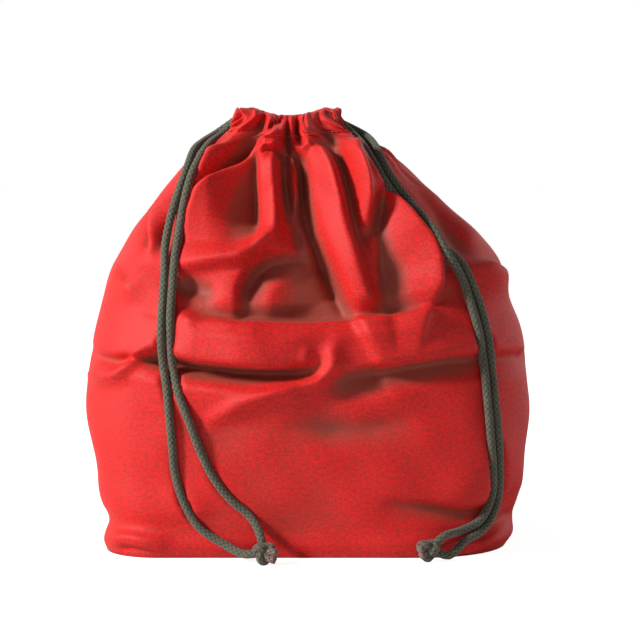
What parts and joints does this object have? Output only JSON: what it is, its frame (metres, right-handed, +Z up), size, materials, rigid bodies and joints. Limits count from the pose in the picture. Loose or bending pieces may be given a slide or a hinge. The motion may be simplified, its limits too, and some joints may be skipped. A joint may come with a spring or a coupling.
{
  "type": "drawstring kit bag",
  "caption": "Cloth drawstring bag that stands on a flat base, its mouth gathered by cords in a casing that hang down the front and end in knots.",
  "frame": {"origin": "on the floor at the middle of the base's underside", "axes": "+Z up, the front with the cords' tails faces -Y, +X to the right as seen from the front"},
  "size_m": [0.329, 0.2164, 0.3235],
  "materials": {
    "red_cloth": "matte woven cotton",
    "dark_cord": "matte braided cord"
  },
  "bodies": {
    "root": {"front_panel": "red_cloth", "back_panel": "red_cloth", "base_panel": "red_cloth", "left_drawcord": "dark_cord", "right_drawcord": "dark_cord", "left_knot": "dark_cord", "right_knot": "dark_cord"}
  },
  "joints": []
}
